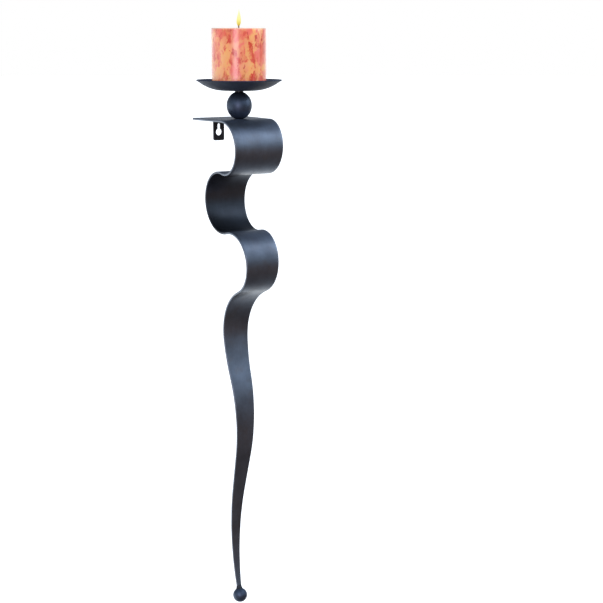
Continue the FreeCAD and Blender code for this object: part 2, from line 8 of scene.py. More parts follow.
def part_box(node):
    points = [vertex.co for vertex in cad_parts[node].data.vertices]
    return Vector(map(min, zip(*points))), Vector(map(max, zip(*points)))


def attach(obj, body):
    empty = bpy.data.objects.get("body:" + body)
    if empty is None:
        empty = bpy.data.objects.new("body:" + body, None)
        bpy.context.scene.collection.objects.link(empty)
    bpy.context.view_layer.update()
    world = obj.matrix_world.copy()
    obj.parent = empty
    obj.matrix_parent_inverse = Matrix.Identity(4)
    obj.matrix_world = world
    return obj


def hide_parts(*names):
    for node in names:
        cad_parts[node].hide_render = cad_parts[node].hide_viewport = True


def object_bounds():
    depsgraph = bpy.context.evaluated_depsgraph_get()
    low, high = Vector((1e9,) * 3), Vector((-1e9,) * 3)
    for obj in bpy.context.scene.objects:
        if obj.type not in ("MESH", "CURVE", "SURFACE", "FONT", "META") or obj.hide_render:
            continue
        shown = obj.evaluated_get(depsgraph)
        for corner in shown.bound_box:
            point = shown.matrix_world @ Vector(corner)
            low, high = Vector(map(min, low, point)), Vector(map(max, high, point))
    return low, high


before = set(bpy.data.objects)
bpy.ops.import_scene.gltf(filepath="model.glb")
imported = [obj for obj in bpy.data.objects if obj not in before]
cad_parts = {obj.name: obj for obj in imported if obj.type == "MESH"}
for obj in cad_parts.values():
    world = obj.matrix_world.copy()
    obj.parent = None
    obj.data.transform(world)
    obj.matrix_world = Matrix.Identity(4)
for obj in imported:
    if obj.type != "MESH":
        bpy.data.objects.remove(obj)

CAD_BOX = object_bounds()

# Lengths are in metres, and MM turns millimetres into them.
MM = 0.001
UP = Vector((0, 0, 1))

# The flat bar, from the wall end to the tail, in millimetres: (length) of a straight run, or
# (radius, degrees) of a bend. A positive bend turns anticlockwise with +Y to the right and +Z up.
BAR_RUNS = (
    (78.0,),
    (37.0, 192.0),
    (43.0, -204.5),
    (42.5, 168.0),
    (11.5,),
    (71.0, -72.0),
    (213.0, -14.5),
    (194.0, 35.5),
    (56.0,),
    (314.0, -28.5),
)
BAR_THICKNESS = 3.0 * MM
BAR_EDGE_RADIUS = 0.9 * MM
BAR_TAIL_WIDTH = 7.0 * MM
BAR_CORNER_RADIUS = 6.0 * MM
BAR_STEP = 2.0 * MM
BAR_COLUMNS = 18
BAR_EDGE_ANGLES = (67.5, 45.0, 22.5, 0.0)
BAR_END_EASE = 0.5 * MM
HAMMER_DEPTH = 0.10 * MM

BAR_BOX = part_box("ribbon_strip")
BAR_WALL_WIDTH = BAR_BOX[1].x - BAR_BOX[0].x
STACK_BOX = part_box("spacer_ball")
STACK_AXIS = Vector(((STACK_BOX[0].x + STACK_BOX[1].x) / 2, (STACK_BOX[0].y + STACK_BOX[1].y) / 2, 0))


# ---------------------------------------------------------------- mesh helpers

def make_object(name, bm, material, smooth=True):
    """Turn a bmesh into a linked object with one material."""
    bmesh.ops.recalc_face_normals(bm, faces=bm.faces)
    mesh = bpy.data.meshes.new(name)
    bm.to_mesh(mesh)
    bm.free()
    for polygon in mesh.polygons:
        polygon.use_smooth = smooth
    mesh.materials.append(material)
    item = bpy.data.objects.new(name, mesh)
    bpy.context.scene.collection.objects.link(item)
    return item


def skin_rings(bm, rings):
    """Quads between neighbouring rings of vertices, and a flat face over each end."""
    for ring, following in zip(rings, rings[1:]):
        for index in range(len(ring)):
            other = (index + 1) % len(ring)
            bm.faces.new((ring[index], ring[other], following[other], following[index]))
    bm.faces.new(rings[0])
    bm.faces.new(list(reversed(rings[-1])))


def polar_solid(name, material, levels, centre_at, reach_at, segments, axis=UP):
    """Closed solid of rings: centre_at(level) places each one, reach_at(angle, level) outlines it."""
    side = Vector((1, 0, 0))
    front = axis.cross(side)
    bm = bmesh.new()
    rings = []
    for level in levels:
        ring = []
        for angle in even_steps(0.0, 2 * math.pi, segments)[:-1]:
            way = side * math.cos(angle) + front * math.sin(angle)
            ring.append(bm.verts.new(centre_at(level) + way * reach_at(angle, level)))
        rings.append(ring)
    skin_rings(bm, rings)
    return make_object(name, bm, material)


def on_stack(level):
    """Point on the axis of dish, ball, stud and candle."""
    return STACK_AXIS + UP * level


def lathe(name, profile, material, centre, segments, wobble):
    """Turned piece: profile is a run of (radius, height); a radius of 0 closes it with a point."""
    bm = bmesh.new()
    rings = []
    for radius, height in profile:
        ring = []
        for index in range(segments if radius else 1):
            angle = 2 * math.pi * index / segments
            way = Vector((math.cos(angle), math.sin(angle), 0))
            point = way * radius + Vector((0, 0, height))
            swell = wobble * noise.noise(point * 90) if radius else 0.0
            ring.append(bm.verts.new(centre + point + way * swell))
        rings.append(ring)
    for ring, following in zip(rings, rings[1:]):
        for index in range(segments):
            other = (index + 1) % segments
            if len(ring) == 1:
                bm.faces.new((ring[0], following[other], following[index]))
            elif len(following) == 1:
                bm.faces.new((ring[index], ring[other], following[0]))
            else:
                bm.faces.new((ring[index], ring[other], following[other], following[index]))
    return make_object(name, bm, material)


def even_steps(first, last, count):
    """Evenly spaced values from first to last, both included."""
    return [first + (last - first) * index / count for index in range(count + 1)]


def arc_points(centre, radius, first, last, steps):
    """Points on an arc in the profile plane, angles in degrees."""
    points = []
    for angle in even_steps(math.radians(first), math.radians(last), steps):
        points.append((centre[0] + radius * math.cos(angle), centre[1] + radius * math.sin(angle)))
    return points


# ---------------------------------------------------------------- material helpers

# Sockets of a Mix node that mixes colours.
MIX_FACTOR, MIX_FIRST, MIX_SECOND, MIX_RESULT = 0, 6, 7, 2


def set_stops(ramp, stops):
    """Stops on a colour ramp node; each is (position, colour) or (position, grey)."""
    elements = ramp.color_ramp.elements
    while len(elements) < len(stops):
        elements.new(0.5)
    for element, (position, colour) in zip(elements, stops):
        element.position = position
        grey = isinstance(colour, (int, float))
        element.color = (colour, colour, colour, 1) if grey else (*colour, 1)


class Recipe:
    """A node tree being written: short calls to add and join nodes."""

    def __init__(self, name):
        self.material = bpy.data.materials.new(name)
        self.material.use_nodes = True
        self.tree = self.material.node_tree
        self.shader = self.tree.nodes["Principled BSDF"]

    def add(self, kind, **settings):
        """New node; each setting is a property of it or the name of an input."""
        node = self.tree.nodes.new("ShaderNode" + kind)
        for key, value in settings.items():
            if hasattr(node, key):
                setattr(node, key, value)
            else:
                node.inputs[key.replace("_", " ")].default_value = value
        return node

    def join(self, source, target):
        """Link an output socket to an input socket."""
        self.tree.links.new(source, target)

    def coords(self, scale=(1.0, 1.0, 1.0), attribute=None):
        """Object coordinates, or a named vector attribute, scaled on each axis."""
        mapping = self.add("Mapping")
        mapping.inputs["Scale"].default_value = scale
        if attribute:
            source = self.add("Attribute", attribute_name=attribute)
            self.join(source.outputs["Vector"], mapping.inputs["Vector"])
        else:
            source = self.add("TexCoord")
            self.join(source.outputs["Object"], mapping.inputs["Vector"])
        return mapping.outputs["Vector"]

    def height_share(self, low, high):
        """0 at the low height, 1 at the high one."""
        split = self.add("SeparateXYZ")
        self.join(self.coords(), split.inputs["Vector"])
        share = self.add("MapRange", From_Min=low, From_Max=high)
        self.join(split.outputs["Z"], share.inputs["Value"])
        return share.outputs["Result"]

    def noise(self, vector, scale, detail=4.0, roughness=0.5):
        """Cloudy value from 0 to 1, with about scale clouds to the metre."""
        node = self.add("TexNoise", Scale=scale, Detail=detail, Roughness=roughness)
        self.join(vector, node.inputs["Vector"])
        return node.outputs["Fac"]

    def ramp(self, value, *stops):
        """Colour ramp over a value, with the stops of set_stops."""
        node = self.add("ValToRGB")
        set_stops(node, stops)
        self.join(value, node.inputs["Fac"])
        return node.outputs["Color"]

    def mix(self, factor, first, second, blend="MIX"):
        """Mix two colours; each may be a socket or a colour, and factor a socket or a number."""
        node = self.add("Mix", data_type="RGBA", blend_type=blend)
        for value, number in ((factor, MIX_FACTOR), (first, MIX_FIRST), (second, MIX_SECOND)):
            socket = node.inputs[number]
            if isinstance(value, (int, float)):
                socket.default_value = value
            elif isinstance(value, tuple):
                socket.default_value = (*value, 1)
            else:
                self.join(value, socket)
        return node.outputs[MIX_RESULT]

    def bump(self, height, strength, distance, normal=None):
        """Surface direction with a height value on it, on top of another one where it is given."""
        node = self.add("Bump", Strength=strength, Distance=distance)
        self.join(height, node.inputs["Height"])
        if normal is not None:
            self.join(normal, node.inputs["Normal"])
        return node.outputs["Normal"]

    def finish(self, **sockets):
        """Set the shader's inputs by name: sockets are linked, plain values are set."""
        for name, value in sockets.items():
            socket = self.shader.inputs[name.replace("_", " ")]
            if isinstance(value, bpy.types.NodeSocket):
                self.join(value, socket)
            elif isinstance(value, tuple) and len(value) == 3 and socket.type == "RGBA":
                socket.default_value = (*value, 1)
            else:
                socket.default_value = value
        return self.material


# Paint colours, and how much of the paint's colour is left by distance along the bar in metres: the
# second curl lies in its own shade.
NAVY_STEEL = (0.155, 0.188, 0.245)
DEEP_STEEL = (0.095, 0.112, 0.145)
BROWN_STEEL = (0.130, 0.112, 0.105)
BURNISHED = (0.330, 0.360, 0.410)
CURL_SHADE = ((0.194, 1.0), (0.214, 0.72), (0.266, 0.60), (0.290, 0.24), (0.336, 0.15), (0.362, 1.0))


def wear_and_shade(recipe, colour, streak):
    """Burnished edges and the shaded curl, from the values that the bar's mesh carries."""
    edge = recipe.add("Attribute", attribute_name="edge_wear").outputs["Fac"]
    worn = recipe.mix(0.5, edge, streak, "MULTIPLY")
    colour = recipe.mix(recipe.ramp(worn, (0.35, 0.0), (0.95, 0.3)), colour, BURNISHED)
    along = recipe.add("SeparateXYZ")
    recipe.join(recipe.coords(attribute="bar_coords"), along.inputs["Vector"])
    return recipe.mix(1.0, colour, recipe.ramp(along.outputs["X"], *CURL_SHADE), "MULTIPLY")


def satin_paint(name, tint, dullness, metal, on_bar=False):
    """Dark blue satin coating over forged steel: cloudy colour, faint streaks, orange peel."""
    recipe = Recipe(name)
    plain = recipe.coords()
    streaked = recipe.coords((1.0, 9.0, 1.0), "bar_coords") if on_bar else recipe.coords((5.0, 5.0, 1.0))
    cloud = recipe.noise(plain, 22.0, 5.0, 0.6)
    streak = recipe.noise(streaked, 40.0, 6.0, 0.65)
    patch = recipe.noise(plain, 60.0, 3.0, 0.5)
    navy, deep, brown = (tuple(channel * share for channel, share in zip(colour, tint))
                         for colour in (NAVY_STEEL, DEEP_STEEL, BROWN_STEEL))
    colour = recipe.mix(recipe.ramp(cloud, (0.35, 0.0), (0.7, 1.0)), navy, deep)
    colour = recipe.mix(recipe.ramp(patch, (0.55, 0.0), (0.8, 0.35)), colour, brown)
    colour = recipe.mix(recipe.ramp(streak, (0.45, 0.0), (0.75, 0.3)), colour, deep)
    if on_bar:
        colour = wear_and_shade(recipe, colour, streak)
    peel = recipe.noise(plain, 1400.0, 2.0)
    hammer = recipe.noise(plain, 55.0, 2.0)
    normal = recipe.bump(hammer, 0.12, 0.0006)
    normal = recipe.bump(peel, 0.10, 0.00008, normal)
    rough = recipe.ramp(recipe.noise(streaked, 70.0, 5.0, 0.6), (0.3, dullness), (0.75, dullness + 0.14))
    return recipe.finish(Base_Color=colour, Metallic=metal, Roughness=rough, Normal=normal)


def black_paint(name):
    """Thick satin black on the small welded pieces."""
    recipe = Recipe(name)
    plain = recipe.coords()
    cloud = recipe.noise(plain, 120.0, 4.0)
    colour = recipe.ramp(cloud, (0.3, (0.010, 0.012, 0.016)), (0.7, (0.030, 0.033, 0.040)))
    normal = recipe.bump(recipe.noise(plain, 900.0, 3.0), 0.2, 0.0001)
    rough = recipe.ramp(cloud, (0.3, 0.38), (0.8, 0.55))
    return recipe.finish(Base_Color=colour, Metallic=0.4, Roughness=rough, Normal=normal)


def plated_steel(name, colour, spread):
    """Turned or plated steel with fine rings and dull patches."""
    recipe = Recipe(name)
    plain = recipe.coords()
    rings = recipe.noise(recipe.coords((0.2, 0.2, 6.0)), 500.0, 3.0)
    cloud = recipe.noise(plain, 300.0, 4.0)
    dull = tuple(channel * spread for channel in colour)
    shade = recipe.mix(recipe.ramp(cloud, (0.35, 0.0), (0.7, 1.0)), colour, dull)
    normal = recipe.bump(rings, 0.15, 0.00005)
    rough = recipe.ramp(cloud, (0.3, 0.28), (0.8, 0.5))
    return recipe.finish(Base_Color=shade, Metallic=1.0, Roughness=rough, Normal=normal)


# Wax colours by cloud value and by each petal's random value; petal layers are (cells per metre,
# share of cells that show, softness of their edge); glows are emission strengths.
WAX_TAN = ((0.28, (0.82, 0.21, 0.13)), (0.45, (0.90, 0.34, 0.16)), (0.60, (0.94, 0.46, 0.15)),
           (0.75, (0.88, 0.27, 0.18)))
WAX_PETALS = ((0.15, (0.66, 0.058, 0.026)), (0.50, (0.78, 0.12, 0.068)), (0.75, (0.88, 0.20, 0.15)),
              (0.92, (0.58, 0.038, 0.016)))
WAX_PETAL_LAYERS = ((88.0, 0.70, 0.38), (180.0, 0.46, 0.32))
WAX_BLOOM = (0.95, 0.48, 0.36)
WAX_RIM = (1.0, 0.72, 0.50)
WAX_GLOW = 0.20
FLAME_GLOW = 0.75


def petal_layer(recipe, vector, scale, share, softness):
    """Irregular cells of one colour each: how strongly each one shows, and its random value."""
    cells = recipe.add("TexVoronoi", Scale=scale)
    recipe.join(vector, cells.inputs["Vector"])
    pick = recipe.add("SeparateColor")
    recipe.join(cells.outputs["Color"], pick.inputs["Color"])
    chosen = recipe.ramp(pick.outputs["Red"], (1 - share, 0.0), (1.04 - share, 1.0))
    edge = recipe.ramp(cells.outputs["Distance"], (softness, 1.0), (softness + 0.38, 0.12))
    return recipe.mix(1.0, chosen, edge, "MULTIPLY"), pick.outputs["Green"]


def wax_marbling(recipe, plain, cloud):
    """Tan clouds with two sizes of red petals and a pink bloom over them."""
    warp = recipe.add("TexNoise", Scale=48.0, Detail=7.0, Roughness=0.68)
    recipe.join(plain, warp.inputs["Vector"])
    shifted = recipe.mix(0.036, plain, warp.outputs["Color"], "ADD")
    colour = recipe.ramp(cloud, *WAX_TAN)
    for scale, share, softness in WAX_PETAL_LAYERS:
        shown, tint = petal_layer(recipe, shifted, scale, share, softness)
        colour = recipe.mix(shown, colour, recipe.ramp(tint, *WAX_PETALS))
    bloom = recipe.ramp(recipe.noise(plain, 60.0, 5.0, 0.6), (0.52, 0.0), (0.8, 0.5))
    return recipe.mix(bloom, colour, WAX_BLOOM)


def marbled_wax(name, rim_height):
    """Translucent marbled wax with a paler rim, lit a little from inside by its flame."""
    recipe = Recipe(name)
    plain = recipe.coords((1.0, 1.0, 0.62))
    cloud = recipe.noise(plain, 34.0, 4.0, 0.55)
    colour = wax_marbling(recipe, plain, cloud)
    near_rim = recipe.height_share(rim_height - 2.2 * MM, rim_height - 0.4 * MM)
    from_wick = recipe.add("VectorMath", operation="DISTANCE")
    recipe.join(recipe.coords(), from_wick.inputs[0])
    from_wick.inputs[1].default_value = STACK_AXIS + Vector((0, 0, rim_height))
    pale = recipe.ramp(from_wick.outputs["Value"], (0.032, 0.25), (0.0365, 0.75))
    colour = recipe.mix(recipe.mix(1.0, near_rim, pale, "MULTIPLY"), colour, WAX_RIM)
    normal = recipe.bump(cloud, 0.12, 0.0006)
    normal = recipe.bump(recipe.noise(plain, 500.0, 3.0), 0.08, 0.0002, normal)
    ripple = recipe.bump(recipe.noise(plain, 190.0, 3.0), 0.5, 0.0005)
    rough = recipe.ramp(recipe.noise(plain, 90.0, 3.0), (0.3, 0.30), (0.75, 0.44))
    glow = recipe.ramp(from_wick.outputs["Value"], (0.004, FLAME_GLOW), (0.042, WAX_GLOW))
    return recipe.finish(Base_Color=colour, Roughness=rough, Normal=normal, Emission_Color=colour,
                         Emission_Strength=glow, Coat_Normal=ripple, Coat_Weight=1.0, Coat_Roughness=0.2,
                         Subsurface_Weight=0.35, Subsurface_Radius=(1.0, 0.45, 0.25),
                         Subsurface_Scale=0.004)


def charred_cotton(name, foot, top):
    """Braided wick, pale below and burnt black towards the tip."""
    recipe = Recipe(name)
    burnt = recipe.ramp(recipe.height_share(foot, top), (0.1, (0.45, 0.33, 0.22)),
                        (0.45, (0.05, 0.035, 0.03)), (0.9, (0.012, 0.010, 0.010)))
    fibre = recipe.noise(recipe.coords((1.0, 1.0, 0.3)), 1800.0, 3.0)
    normal = recipe.bump(fibre, 0.6, 0.0002)
    return recipe.finish(Base_Color=burnt, Roughness=0.9, Normal=normal)


def flame_glow(name, foot, top):
    """Burning gas: orange round the wick, yellow above, pale at the tip."""
    recipe = Recipe(name)
    share = recipe.height_share(foot, top)
    glow = recipe.ramp(share, (0.02, (0.62, 0.36, 0.08)), (0.16, (0.90, 0.72, 0.14)),
                       (0.38, (1.0, 0.94, 0.34)), (0.85, (0.97, 1.0, 0.60)))
    solid = recipe.ramp(share, (0.0, 0.75), (0.3, 0.95), (0.8, 0.75), (1.0, 0.35))
    return recipe.finish(Base_Color=(0.0, 0.0, 0.0), Roughness=1.0, Specular_IOR_Level=0.0,
                         Emission_Color=glow, Emission_Strength=1.0, Alpha=solid)


# ---------------------------------------------------------------- flat bar

def run_length(run):
    """Length of one run of the bar along its centre line, in metres."""
    return run[0] * MM * (1.0 if len(run) == 1 else math.radians(abs(run[1])))


def bar_half_width(travelled, length):
    """Even taper, with the two corners at the wall rounded off."""
    share = travelled / length
    half = (BAR_WALL_WIDTH * (1 - share) + BAR_TAIL_WIDTH * share) / 2
    if travelled < BAR_CORNER_RADIUS:
        reach = BAR_CORNER_RADIUS - travelled
        half -= BAR_CORNER_RADIUS - math.sqrt(BAR_CORNER_RADIUS ** 2 - reach ** 2)
    return half


def bar_stations():
    """Points of the centre line: (point, heading as an angle, distance travelled)."""
    point = Vector((0, BAR_BOX[1].y, BAR_BOX[1].z - BAR_THICKNESS / 2))
    heading = math.pi
    travelled = 0.0
    stations = []
    for run in BAR_RUNS:
        turn = 0.0 if len(run) == 1 else math.radians(run[1])
        length = run_length(run)
        steps = max(3, round(length / BAR_STEP))
        for step in range(steps):
            share = step / steps
            angle = heading + turn * share
            stations.append((run_point(point, heading, run, share), angle, travelled + length * share))
        point = run_point(point, heading, run, 1.0)
        heading += turn
        travelled += length
    stations.append((point, heading, travelled))
    return stations


def run_point(start, heading, run, share):
    """Point at a share of one run of the bar, which starts at a point with a heading."""
    ahead = Vector((0, math.cos(heading), math.sin(heading)))
    if len(run) == 1:
        return start + ahead * (run[0] * MM * share)
    radius, turn = run[0] * MM, math.radians(run[1])
    side = math.copysign(1.0, turn)
    left = Vector((0, -math.sin(heading), math.cos(heading))) * side
    angle = abs(turn) * share
    return start + ahead * (radius * math.sin(angle)) + left * (radius * (1 - math.cos(angle)))


def bar_section(half_width, inset):
    """Rounded rectangle across the bar: (across, through, edge wear) of each point."""
    half = BAR_THICKNESS / 2 - inset
    radius = BAR_EDGE_RADIUS - inset * 0.5
    flat = half_width - inset - radius
    rounding = [(half - radius, angle) for angle in BAR_EDGE_ANGLES]
    rounding += [(radius - half, -angle) for angle in reversed(BAR_EDGE_ANGLES)]
    points = []
    for way in (1, -1):
        for share in even_steps(-1.0, 1.0, BAR_COLUMNS - 1):
            points.append((share * flat * way, half * way, 1.0 if abs(share) == 1 else 0.0))
        for centre, degrees in rounding:
            across = flat + radius * math.cos(math.radians(degrees))
            through = centre + radius * math.sin(math.radians(degrees))
            points.append((across * way, through * way, 1.0))
    return points


def make_bar(material):
    """Forged bar with rounded edges, slight hammer waves and a wear value along its edges."""
    bm = bmesh.new()
    wear = bm.verts.layers.float.new("edge_wear")
    coords = bm.verts.layers.float_vector.new("bar_coords")
    stations = bar_stations()
    length = stations[-1][2]
    rings = []
    for number, (point, heading, travelled) in enumerate(stations):
        normal = Vector((0, math.sin(heading), -math.cos(heading)))
        half = bar_half_width(travelled, length)
        half += HAMMER_DEPTH * noise.noise(Vector((travelled * 60, 0, 0)))
        inset = BAR_END_EASE if number in (0, len(stations) - 1) else 0.0
        ring = []
        for across, through, edge in bar_section(half, inset):
            wave = HAMMER_DEPTH * noise.noise(Vector((travelled * 45, across * 45, through * 300)))
            vertex = bm.verts.new(point + Vector((across, 0, 0)) + normal * (through + wave))
            vertex[wear] = edge
            vertex[coords] = Vector((travelled, across, through))
            ring.append(vertex)
        rings.append(ring)
    skin_rings(bm, rings)
    return make_object("forged_bar", bm, material)


# ---------------------------------------------------------------- candle

# Melt pool: (share of the candle's radius, depth in mm), from the rim to the wick.
MELT_POOL = ((0.85, 0.1), (0.7, 0.35), (0.55, 1.0), (0.4, 1.5), (0.2, 1.8), (0.05, 1.9), (0.0, 1.9))


def make_wax(material):
    """Pillar with softly rounded rims, a shallow melt pool and a hole for the spike."""
    low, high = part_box("candle_wax")
    radius = (high.x - low.x) / 2
    height = high.z - low.z
    hole, hole_top = 3.5 * MM, 24.0 * MM
    foot_round, rim_round = 2.0 * MM, 1.4 * MM
    profile = [(0.0, hole_top), (hole, hole_top), (hole, 0.0), (radius - 1.5 * foot_round, 0.0)]
    profile += arc_points((radius - foot_round, foot_round), foot_round, -90, 0, 6)
    profile += [(radius, height * share / 12) for share in range(1, 12)]
    profile += arc_points((radius - rim_round, height - rim_round), rim_round, 0, 90, 6)
    profile += [(radius * share, height - depth * MM) for share, depth in MELT_POOL]
    return lathe("marbled_candle", profile, material, STACK_AXIS + Vector((0, 0, low.z)), 128, 0.15 * MM)


def make_wick(material):
    """Braided cotton, three strands twisted together, bent over and thinner at its burnt tip."""
    low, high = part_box("candle_wick")
    radius = (high.x - low.x) / 2
    bent, lean, thinning = 7.0 * MM, 1.6 * MM, 0.35

    def bend(level):
        return max(0.0, (level - high.z + bent) / bent)

    def centre(level):
        return on_stack(level) + Vector((lean * bend(level) ** 2, 0, 0))

    def strands(angle, level):
        braid = 0.78 + 0.2 * abs(math.cos(1.5 * angle + level * 900))
        fuzz = 0.06 * noise.noise(Vector((angle * 3, level * 4000, 0)))
        return radius * (1.0 - thinning * bend(level)) * (braid + fuzz)

    return polar_solid("braided_wick", material, even_steps(low.z, high.z, 120), centre, strands, 24)


def make_flame(material, foot, top):
    """Teardrop flame, leaning a little."""
    belly, lean, point = 3.3 * MM, 0.9 * MM, 0.02 * MM

    def centre(share):
        sway = lean * math.sin(share * 2.6) * share
        return on_stack(foot + (top - foot) * share) + Vector((sway, 0, 0))

    def teardrop(_, share):
        return max(point, belly * math.sin(math.pi * share ** 0.62) ** 1.15 * (1 - 0.25 * share))

    return polar_solid("candle_flame", material, even_steps(0.0, 1.0, 24), centre, teardrop, 24)


# ---------------------------------------------------------------- hardware and welds

def make_stud(material):
    """Spike and flange turned from bar, with a real thread where the nut sits."""
    low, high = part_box("pricket_stud")
    flange, rod = (high.x - low.x) / 2, 3.0 * MM
    spike_base, spike_tip = 3.2 * MM, 0.4 * MM
    dish_sheet, flange_thickness = 1.5 * MM, 2.0 * MM
    flange_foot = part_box("drip_dish")[0].z + dish_sheet
    flange_top = flange_foot + flange_thickness
    thread_top = BAR_BOX[1].z - BAR_THICKNESS
    pitch, depth = 1.0 * MM, 0.55 * MM
    lead_in, lead_start = 1.2 * MM, 0.35

    def outline(angle, level):
        if level <= thread_top:
            lead = min(1.0, (level - low.z) / lead_in + lead_start)
            turn = (level / pitch - angle / (2 * math.pi)) % 1.0
            return (rod - depth * abs(2 * turn - 1)) * lead
        if level < flange_foot:
            return rod
        if level <= flange_top:
            return flange
        share = (level - flange_top) / (high.z - flange_top)
        return spike_base + (spike_tip - spike_base) * min(1.0, share) ** 0.9

    hair, soft = 0.01 * MM, 0.3 * MM
    levels = even_steps(low.z, thread_top, 100) + [thread_top + 10 * hair, flange_foot - hair]
    levels += [flange_foot, flange_foot + soft, flange_top - soft, flange_top, flange_top + hair]
    levels += even_steps(flange_top + soft, high.z, 30)
    return polar_solid("turned_stud", material, levels, on_stack, outline, 60)


def make_nut(material):
    """Hexagon nut with the usual round chamfer on both faces."""
    low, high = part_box("stud_nut")
    corner = (high.x - low.x) / 2
    middle = (low.z + high.z) / 2
    chamfer, slope = 0.9 * MM, 0.9
    sixth = math.pi / 3

    def outline(angle, level):
        hexagon = corner * math.cos(sixth / 2) / math.cos(angle % sixth - sixth / 2)
        into_chamfer = max(0.0, abs(level - middle) - (high.z - middle) + chamfer)
        return min(hexagon, corner - slope * into_chamfer)

    levels = even_steps(low.z, low.z + 1.0 * MM, 6) + even_steps(high.z - 1.0 * MM, high.z, 6)
    nut = polar_solid("hexagon_nut", material, levels, on_stack, outline, 96)
    sharpen(nut, 28.0)
    return nut


def sharpen(item, degrees):
    """Flat facets where faces meet at more than an angle, smooth elsewhere."""
    bm = bmesh.new()
    bm.from_mesh(item.data)
    for edge in bm.edges:
        if len(edge.link_faces) == 2 and edge.calc_face_angle(0.0) > math.radians(degrees):
            edge.smooth = False
    bm.to_mesh(item.data)
    bm.free()


def weld_ripple(distance, spacing, seed):
    """Overlapping scallops of a hand-laid bead, 0 to 1; seed makes one bead differ from another."""
    wander = 0.25 * noise.noise(Vector((distance * 400, seed, 0)))
    return math.sqrt(max(0.0, 1 - ((distance / spacing + wander) % 1.0) ** 2))


def make_tail_weld(material):
    """Flared bead between the bar's end and the tail ball."""
    ball_low, ball_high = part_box("tail_ball")
    radius = (ball_high.y - ball_low.y) / 2
    ball = Vector((0, (ball_low.y + ball_high.y) / 2, ball_low.z + radius))
    weld_low, weld_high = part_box("tail_weld")
    point, heading, _ = bar_stations()[-1]
    upward = Vector((0, -math.cos(heading), -math.sin(heading)))
    sunk, overlap = 2.2 * MM, 0.8 * MM
    foot = (point - ball).length - sunk
    height = (weld_high.z - weld_low.z) + overlap
    foot_radius, top_radius, top_half = 5.4 * MM, 4.1 * MM, BAR_THICKNESS / 2 + 0.7 * MM
    bead_radius, bead_depth, bead_spacing, slant = 4.0 * MM, 0.22 * MM, 1.7 * MM, 0.3

    def outline(angle, level):
        share = (level - foot) / height
        flare = (1 - share) ** 1.6
        flat = abs(math.sin(angle)) * share ** 0.7
        neck = top_radius * (1 - flat) + top_half * flat
        bead = bead_depth * weld_ripple(angle * bead_radius + level * slant, bead_spacing, 3.0)
        return neck + (foot_radius - neck) * flare + bead * (1 - share)

    levels = even_steps(foot, foot + height, 22)
    return polar_solid("tail_weld_bead", material, levels, lambda level: ball + upward * level,
                       outline, 96, upward)


def make_tab_weld(material):
    """Rippled bead in the corner between the tab and the shelf."""
    low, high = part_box("tab_weld")
    sink, rounded_end, ripple_spacing = 0.2 * MM, 1.2 * MM, 1.5 * MM
    corner = Vector((0, high.y + sink, high.z + sink))
    bm = bmesh.new()
    rings = []
    for along in even_steps(low.x, high.x, 150):
        foot = corner + Vector((along, 0, 0))
        end = min(along - low.x, high.x - along) / rounded_end
        size = (high.y - low.y) * (0.86 + 0.2 * weld_ripple(along, ripple_spacing, 9.0))
        size = (size + sink) * math.sqrt(min(1.0, max(0.02, end)))
        ring = [bm.verts.new(foot)]
        for angle in even_steps(0.0, math.pi / 2, 10):
            ring.append(bm.verts.new(foot + Vector((0, -math.cos(angle), -math.sin(angle))) * size))
        rings.append(ring)
    skin_rings(bm, rings)
    return make_object("tab_weld_bead", bm, material)


def sheet_mesh(outlines, thickness, ease):
    """Mesh of a flat sheet with eased edges, drawn in X and Y, from closed outlines."""
    curve = bpy.data.curves.new("sheet_outline", "CURVE")
    curve.dimensions = "2D"
    curve.fill_mode = "BOTH"
    for points in outlines:
        spline = curve.splines.new("POLY")
        spline.points.add(len(points) - 1)
        for slot, (x, y) in zip(spline.points, points):
            slot.co = (x, y, 0, 1)
        spline.use_cyclic_u = True
    curve.extrude = thickness / 2 - ease
    curve.bevel_depth = ease
    curve.bevel_resolution = 2
    curve.offset = -ease
    drawn = bpy.data.objects.new("sheet_outline", curve)
    bpy.context.scene.collection.objects.link(drawn)
    bpy.context.view_layer.update()
    mesh = bpy.data.meshes.new_from_object(drawn.evaluated_get(bpy.context.evaluated_depsgraph_get()))
    bpy.data.objects.remove(drawn)
    return mesh


def make_tab(material):
    """Stamped tab with eased edges and a keyhole."""
    low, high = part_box("hanger_tab")
    half, thickness = (high.x - low.x) / 2, high.y - low.y
    corner, ease = 2.5 * MM, 0.35 * MM
    hole, slot, slot_reach = 5.0 * MM, 2.3 * MM, 10.0 * MM
    outer = [(half, high.z), (-half, high.z)]
    outer += arc_points((-half + corner, low.z + corner), corner, 180, 270, 8)
    outer += arc_points((half - corner, low.z + corner), corner, 270, 360, 8)
    shoulder = math.degrees(math.acos(slot / hole))
    keyhole = arc_points((0, 0), hole, 180 - shoulder, 360 + shoulder, 40)
    keyhole += arc_points((0, slot_reach), slot, 0, 180, 14)
    mesh = sheet_mesh((outer, keyhole), thickness, ease)
    upright = Matrix(((1, 0, 0, 0), (0, 0, -1, (low.y + high.y) / 2), (0, 1, 0, 0), (0, 0, 0, 1)))
    mesh.transform(upright)
    mesh.materials.clear()
    mesh.materials.append(material)
    tab = bpy.data.objects.new("stamped_tab", mesh)
    bpy.context.scene.collection.objects.link(tab)
    return tab


# ---------------------------------------------------------------- stage

FLOOR_GLOW = (0.95, 0.95, 0.95)
FLOOR_DROP, FLOOR_RADIUS = 0.35, 40.0


